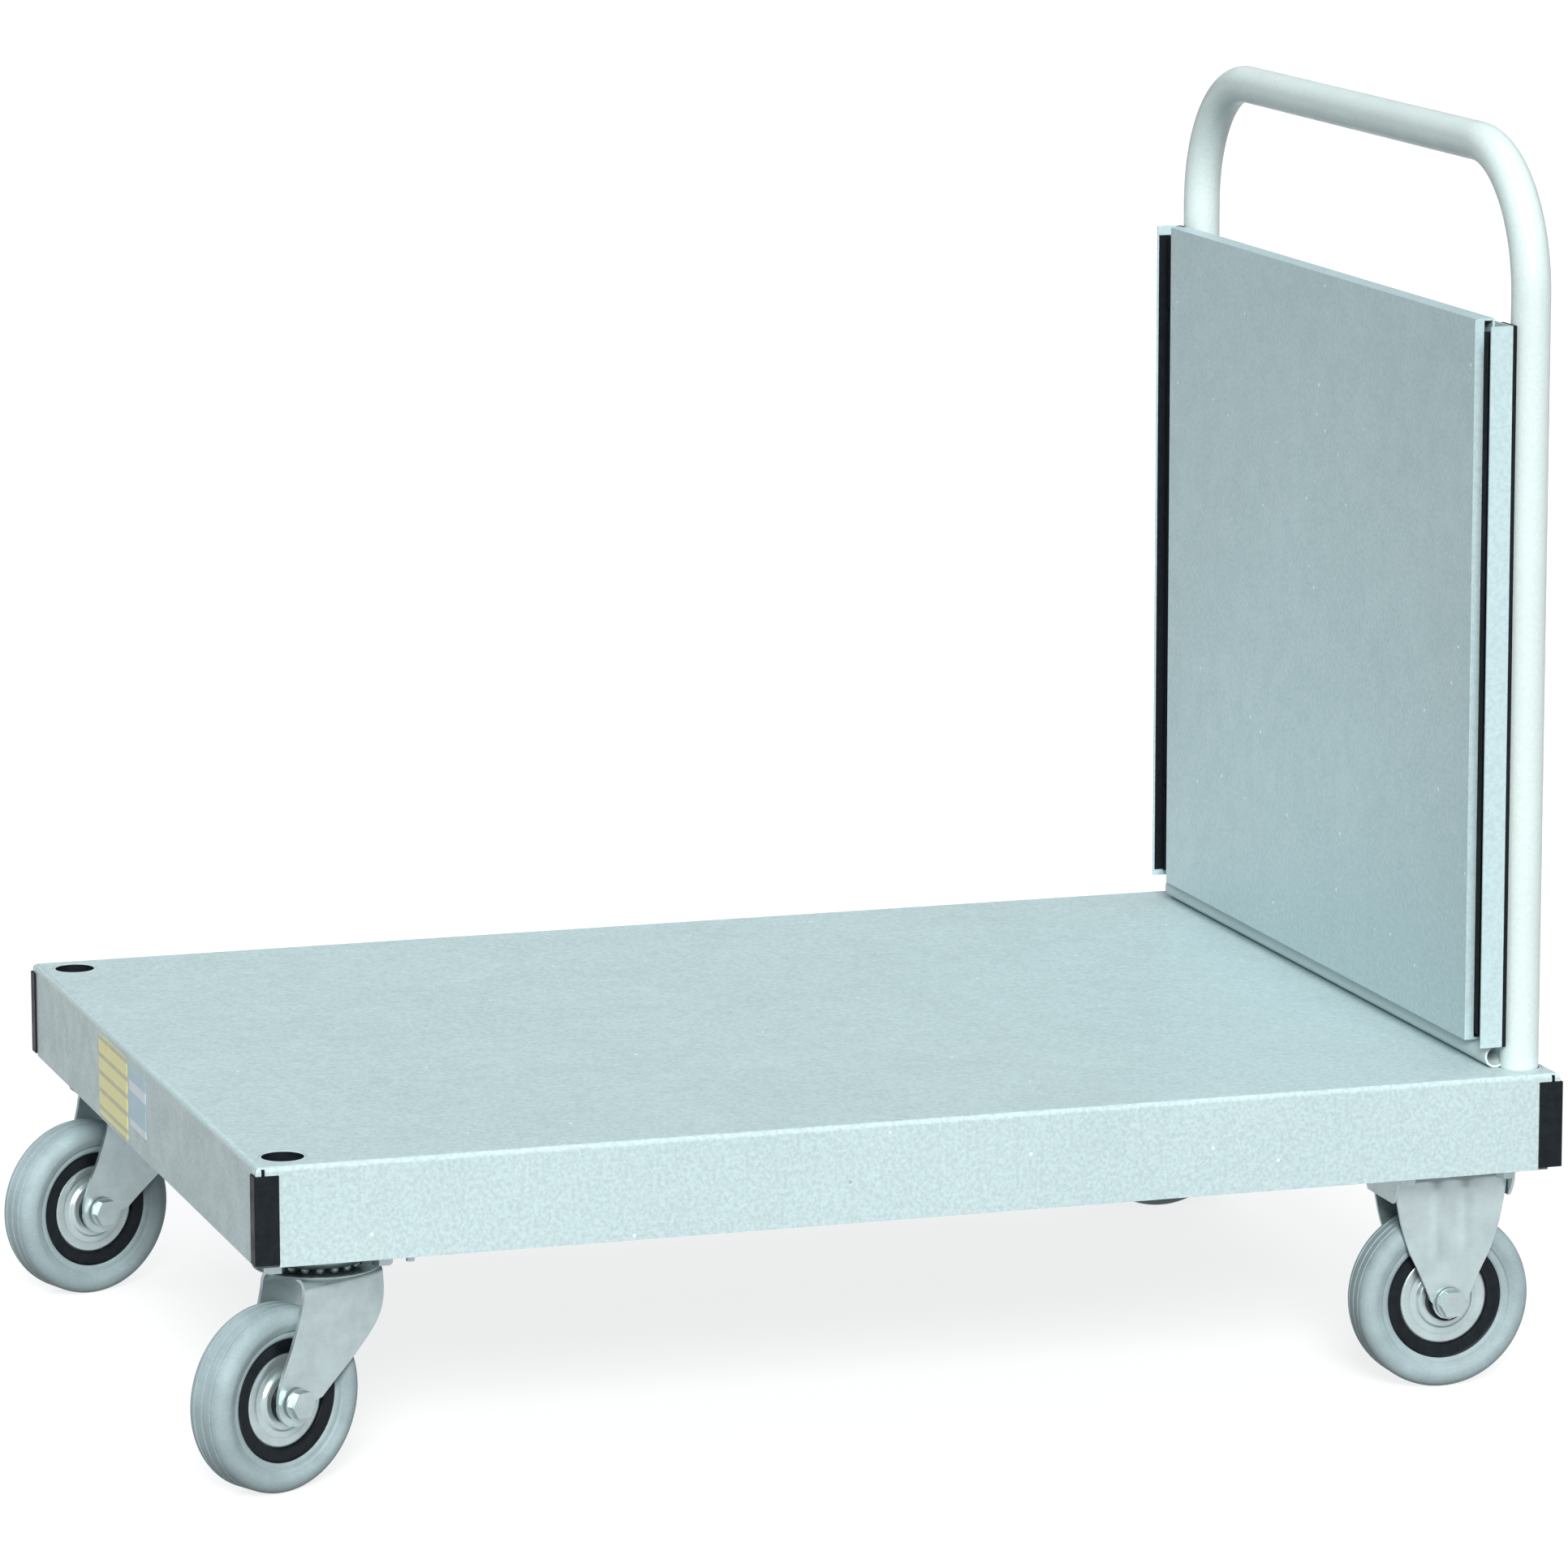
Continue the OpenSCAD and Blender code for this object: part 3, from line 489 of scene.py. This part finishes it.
bracketSide = [(axleHigh - 12.5, 12.5), (axleHigh, 13.5), (axleHigh + 20, 22), (axleHigh + 38, 31.5),
    (plateTop - 43.5, 37.5), (plateTop - 22.5, 41.5), (plateTop - 2, 44)]
bracketLeg = {
    "wall": 23.0, "bend": 8.0, "top": plateTop - 2.8, "axle": (0.0, axleHigh), "tip": 12.8,
    "rear": [(z, -x) for z, x in bracketSide], "front": bracketSide, "curl": 0.0,
    "ribs": [(-11.0, axleHigh + 28, plateTop - 9, 6.5, 1.5), (11.0, axleHigh + 28, plateTop - 9, 6.5, 1.5)],
}
bracketFlap = {"at": 45.6, "half": 33.0, "drop": 22.0, "taper": 9.0, "thickness": 2.4}
forkLeg = {
    "wall": 23.0, "bend": 9.0, "top": crownTop - 2.6, "axle": (-trail, axleHigh), "tip": 16.4,
    "rear": [(axleHigh - 17, -trail - 12), (axleHigh, -trail - 16.4), (axleHigh + 8, -trail - 16),
        (axleHigh + 22, -trail - 11), (crownTop - 50, -43), (crownTop - 32, -36), (crownTop - 13, -31),
        (crownTop - 2, -31)],
    "front": [(axleHigh - 17, -trail + 8), (axleHigh - 10, -trail + 12), (axleHigh + 6, -trail + 30),
        (axleHigh + 22, -trail + 51), (crownTop - 50, 30), (crownTop - 39, 39.5), (crownTop - 25, 43.5),
        (crownTop - 2, 43)],
    "curl": 3.6, "ribs": [],
}
# heights below the crown's top
crownProfile = [(6.15, 4.4), (22.0, 4.4), (30.0, 4.2), (37.0, 3.5), (41.6, 2.1), (44.0, 1.0), (44.5, 0.4), (44.2, 0.0),
    (43.2, 0.1), (42.4, 0.8), (40.6, 1.4), (36.4, 2.0), (33.0, 2.1), (31.6, 2.5), (29.0, 3.0), (26.4, 2.5), (25.0, 1.8),
    (6.15, 1.8)]
# heights below the plate's top
raceProfile = [(6.1, 2.9), (38.0, 2.9), (38.0, 3.6), (37.6, 5.2), (36.6, 6.8), (35.0, 7.9), (33.2, 8.6), (32.2, 8.9),
    (31.5, 7.9), (29.0, 7.2), (26.5, 7.9), (25.8, 8.9), (22.0, 8.9), (21.0, 6.2), (11.0, 6.2), (10.0, 8.9), (6.1, 8.9)]


def makeFork(corner):
    fork = sheetLegs(forkLeg)
    joinShape(fork, turnedUpright([(r, crownTop - z) for r, z in crownProfile]))
    pin = Vector(swivels[corner]["pos_m"])
    turn = places[corner].to_euler().z
    fork.transform(Matrix.Translation((pin.x, pin.y, 0)) @ Matrix.Rotation(turn, 4, "Z"))
    finishPiece("fork." + corner, fork, "swivel_" + corner, "zinc_plate", ["fork_" + corner], smooth=40)


def makeHead(corner):
    head = topPlate(plateTop)
    joinShape(head, turnedUpright([(r, plateTop - z) for r, z in raceProfile]))
    pin = Vector(swivels[corner]["pos_m"])
    head.transform(Matrix.Translation((pin.x, pin.y, 0)))
    finishPiece("head." + corner, head, "truck", "zinc_plate", ["head_plate_" + corner], smooth=40)


def makeBracket(corner):
    bracket = sheetLegs(bracketLeg)
    joinShape(bracket, topPlate(plateTop))
    flap = bracketFlap
    for side in (-1, 1):
        sheet = bmesh.new()
        for vert in bmesh.ops.create_grid(sheet, x_segments=20, y_segments=12, size=1.0)["verts"]:
            across, down = vert.co.x, (1 - vert.co.y) / 2
            half = flap["half"] - flap["taper"] * down ** 2.2
            vert.co = Vector((side * flap["at"], across * half, plateTop - 2 - flap["drop"] * down)) * mm
        bmesh.ops.recalc_face_normals(sheet, faces=sheet.faces)
        bmesh.ops.solidify(sheet, geom=sheet.faces[:], thickness=flap["thickness"] * mm)
        bmesh.ops.recalc_face_normals(sheet, faces=sheet.faces)
        bevelSharp(sheet, 0.5 * mm)
        joinShape(bracket, sheet)
    at = places[corner].translation
    bracket.transform(Matrix.Translation((at.x, at.y, 0)))
    finishPiece("bracket." + corner, bracket, "truck", "zinc_plate", ["bracket_" + corner], smooth=40)


for corner in swivels:
    makeFork(corner)
    makeHead(corner)
for corner in ("rear_left", "rear_right"):
    makeBracket(corner)
print("caster legs made")


tubeSizes = {"radius": 14.0, "wall": 1.5, "bend": 100.0, "around": 48, "bendSteps": 24}


def makeHandleTube():
    low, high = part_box("handle_tube")
    r, bend = tubeSizes["radius"] * mm, tubeSizes["bend"] * mm
    x0 = (low[0] + high[0]) / 2
    side = high[1] - r
    top = high[2] - r
    shape = bmesh.new()
    start = bmesh.ops.create_circle(shape, cap_ends=False, segments=tubeSizes["around"], radius=r)["verts"]
    bmesh.ops.translate(shape, verts=start, vec=(x0, -side, low[2]))
    rim = shape.edges[:]

    def run(rimEdges, vec):
        out = bmesh.ops.extrude_edge_only(shape, edges=rimEdges)["geom"]
        bmesh.ops.translate(shape, verts=[g for g in out if isinstance(g, bmesh.types.BMVert)], vec=vec)
        return [g for g in out if isinstance(g, bmesh.types.BMEdge)]

    def turn(rimEdges, cent):
        ends = list({v for e in rimEdges for v in e.verts})
        out = bmesh.ops.spin(shape, geom=rimEdges + ends, cent=cent, axis=(1, 0, 0), angle=-math.pi / 2,
            steps=tubeSizes["bendSteps"])
        return [g for g in out["geom_last"] if isinstance(g, bmesh.types.BMEdge)]

    rim = run(rim, (0, 0, top - bend - low[2]))
    rim = turn(rim, (x0, -side + bend, top - bend))
    rim = run(rim, (0, 2 * (side - bend), 0))
    rim = turn(rim, (x0, side - bend, top - bend))
    rim = run(rim, (0, 0, -(top - bend - low[2])))
    bmesh.ops.recalc_face_normals(shape, faces=shape.faces)
    bmesh.ops.solidify(shape, geom=shape.faces[:], thickness=tubeSizes["wall"] * mm)
    bmesh.ops.recalc_face_normals(shape, faces=shape.faces)
    finishPiece("handleTube", shape, "handle", "handle_paint", ["handle_tube"], smooth=45)


makeHandleTube()
print("handle made")


edgeWidths = {
    "deck_tray": 0.35, "cap": 0.7, "label": 0.08, "front_panel": 0.5, "backing_tray": 0.45, "groove_liners": 0.45,
    "rubber_strips": 0.5, "balls": 0.0, "socket": 0.6,
}
handMade = ("tyre", "rim_", "guards", "fork", "head_plate", "bracket", "handle_tube")
for node in sorted(frame["nodes"]):
    if node.startswith(handMade):
        continue
    width = 0.3
    for start, value in edgeWidths.items():
        if node.startswith(start):
            width = value
    piece = softenedCopy(node, width * mm)
    # the bores of the sockets get painted shade
    if node.startswith("socket"):
        paintBoreShade(piece)
print("edges softened")


stage = {
    "floor": (0.26, 0.262, 0.264), "glow": (0.80, 0.81, 0.812), "world": (0.93, 0.95, 0.96), "high": 0.42, "low": 0.13,
}
lights = {
    "key": {"towards": (-0.22, -0.84, 0.49), "power": 3.8, "spread": 20, "colour": (1.0, 0.985, 0.955)},
    "overhead": {"towards": (-0.12, 0.0, 0.99), "power": 0.72, "spread": 60, "colour": (0.96, 1.0, 1.02)},
}


# a pale paper floor that glows a little, so that shadows on it stay faint
def makeStage():
    shape = bmesh.new()
    bmesh.ops.create_grid(shape, x_segments=4, y_segments=4, size=14.0)
    mesh = bpy.data.meshes.new("floor")
    shape.to_mesh(mesh)
    shape.free()
    finish, tree, shader, place = newFinish("floorPaper")
    dim = tuple(c * 0.985 for c in stage["floor"])
    tree.links.new(ramp(tree, grain(tree, place, 2.0, 2.0), [(0.3, dim), (0.7, stage["floor"])]),
        shader.inputs["Base Color"])
    shader.inputs["Roughness"].default_value = 0.9
    shader.inputs["Specular IOR Level"].default_value = 0.1
    shader.inputs["Emission Color"].default_value = (*stage["glow"], 1.0)
    shader.inputs["Emission Strength"].default_value = 1.0
    mesh.materials.append(finish)
    floor = bpy.data.objects.new("floor", mesh)
    bpy.context.scene.collection.objects.link(floor)
    floor.visible_diffuse = False


# brighter overhead than below, and white where nothing stands in front of it
def makeWorld():
    world = bpy.data.worlds.new("studio")
    world.use_nodes = True
    tree = world.node_tree
    sky = tree.nodes["Background"]
    sky.inputs["Color"].default_value = (*stage["world"], 1.0)
    split = tree.nodes.new("ShaderNodeSeparateXYZ")
    tree.links.new(tree.nodes.new("ShaderNodeTexCoord").outputs["Generated"], split.inputs[0])
    spread = tree.nodes.new("ShaderNodeMapRange")
    spread.interpolation_type = "SMOOTHSTEP"
    for socket, value in (("From Min", -0.35), ("From Max", 0.75), ("To Min", stage["low"]), ("To Max", stage["high"])):
        spread.inputs[socket].default_value = value
    tree.links.new(split.outputs["Z"], spread.inputs["Value"])
    tree.links.new(spread.outputs["Result"], sky.inputs["Strength"])
    backdrop = tree.nodes.new("ShaderNodeBackground")
    backdrop.inputs["Color"].default_value = (0.94, 0.95, 0.955, 1.0)
    mix = tree.nodes.new("ShaderNodeMixShader")
    tree.links.new(tree.nodes.new("ShaderNodeLightPath").outputs["Is Camera Ray"], mix.inputs["Fac"])
    tree.links.new(sky.outputs["Background"], mix.inputs[1])
    tree.links.new(backdrop.outputs["Background"], mix.inputs[2])
    tree.links.new(mix.outputs["Shader"], tree.nodes["World Output"].inputs["Surface"])
    bpy.context.scene.world = world


def sunLight(name, towards, power, spread, colour):
    lamp = bpy.data.lights.new(name, "SUN")
    lamp.energy = power
    lamp.angle = math.radians(spread)
    lamp.color = colour
    light = bpy.data.objects.new(name, lamp)
    bpy.context.scene.collection.objects.link(light)
    light.rotation_euler = Vector(towards).to_track_quat("Z", "Y").to_euler()


def makeCamera():
    view = {"at": (-1.6414, -5.2680, 1.4354), "yaw": 17.62, "pitch": 10.50, "roll": -0.08, "lens": 176.32}
    data = bpy.data.cameras.new("camera")
    data.lens = view["lens"]
    data.sensor_width = 36.0
    data.clip_end = 60.0
    camera = bpy.data.objects.new("camera", data)
    bpy.context.scene.collection.objects.link(camera)
    turned = Matrix.Rotation(math.radians(-view["yaw"]), 4, "Z")
    tipped = Matrix.Rotation(math.radians(90 - view["pitch"]), 4, "X")
    rolled = Matrix.Rotation(math.radians(view["roll"]), 4, "Z")
    camera.matrix_world = Matrix.Translation(view["at"]) @ turned @ tipped @ rolled
    bpy.context.scene.camera = camera


makeStage()
makeWorld()
for name, light in lights.items():
    sunLight(name, **light)
makeCamera()
bpy.context.scene.view_settings.view_transform = "Standard"
print("stage set")
